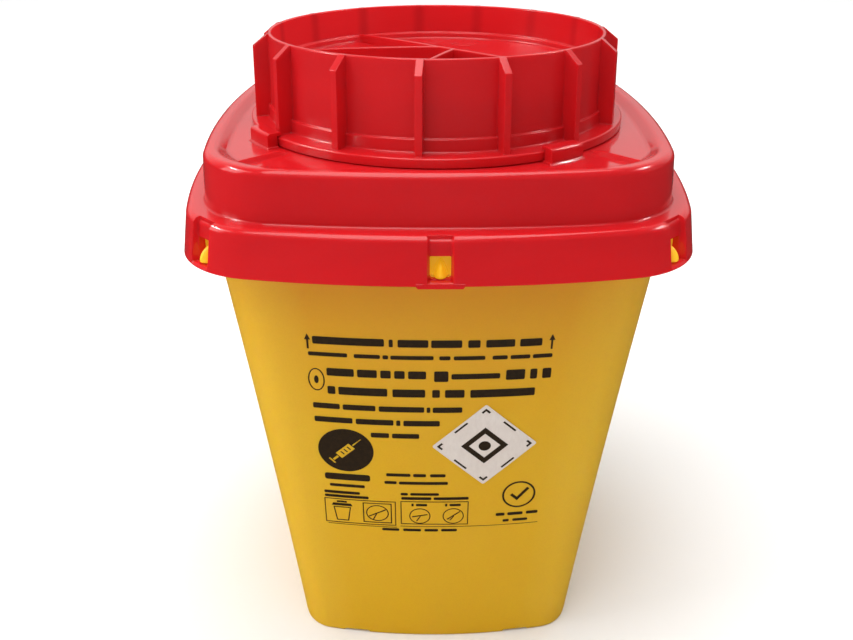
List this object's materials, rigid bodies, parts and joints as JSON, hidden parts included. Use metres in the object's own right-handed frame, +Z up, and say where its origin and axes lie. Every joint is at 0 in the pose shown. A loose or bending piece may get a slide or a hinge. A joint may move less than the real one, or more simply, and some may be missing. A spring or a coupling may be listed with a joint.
{
  "type": "sharps container",
  "caption": "Tapered square sharps bucket with a snap-fit two-tier lid and a finned round selector cap that turns to open or close the drop opening.",
  "frame": {"origin": "centre of the base, on the plane the container rests on", "axes": "+Z up along the cap's turning axis, the printed front faces -Y, +X to the right seen from the front"},
  "size_m": [0.1728, 0.1728, 0.227],
  "materials": {
    "yellow_pp": "injection-moulded polypropylene, semi-matte, slightly translucent yellow, with a black print on the front",
    "red_pp": "injection-moulded polypropylene, glossy signal red",
    "red_pp_cap": "injection-moulded polypropylene, glossy signal red",
    "label_film": "satin white label film with a plain black frame",
    "print_ink": "thin black screen-printed ink on the bucket and the label"
  },
  "bodies": {
    "container": {"body_bucket": "yellow_pp", "snap_lid": "red_pp", "diamond_label": "label_film"},
    "cap": {"selector_cap": "red_pp_cap"}
  },
  "joints": [
    {"name": "cap_turn", "type": "hinge", "parent": "container", "child": "cap", "pos_m": [0, 0, 0.2], "axis": [0, 0, 1], "range_deg": [0, 168]}
  ]
}
